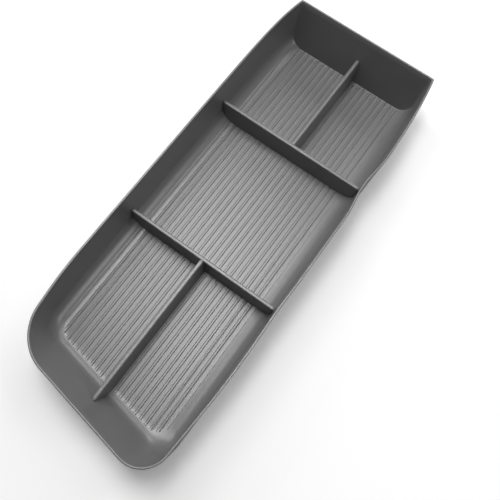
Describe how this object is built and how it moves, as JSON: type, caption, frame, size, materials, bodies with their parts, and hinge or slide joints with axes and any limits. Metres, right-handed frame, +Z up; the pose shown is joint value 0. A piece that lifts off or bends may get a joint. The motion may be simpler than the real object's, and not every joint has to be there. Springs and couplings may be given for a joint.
{
  "type": "center console organizer tray",
  "caption": "Long open tray for a car's center console: ribbed floor, low dividers making five compartments, one square end and one sloping oblique end.",
  "frame": {"origin": "on the underside, in the middle of the tray's length and width", "axes": "+X towards the square end, +Y to the left of it, +Z up out of the open top"},
  "size_m": [0.3296, 0.1269, 0.0415],
  "materials": {
    "matte_rubber": "matte"
  },
  "bodies": {
    "root": {"organizer_tray": "matte_rubber"}
  },
  "joints": []
}
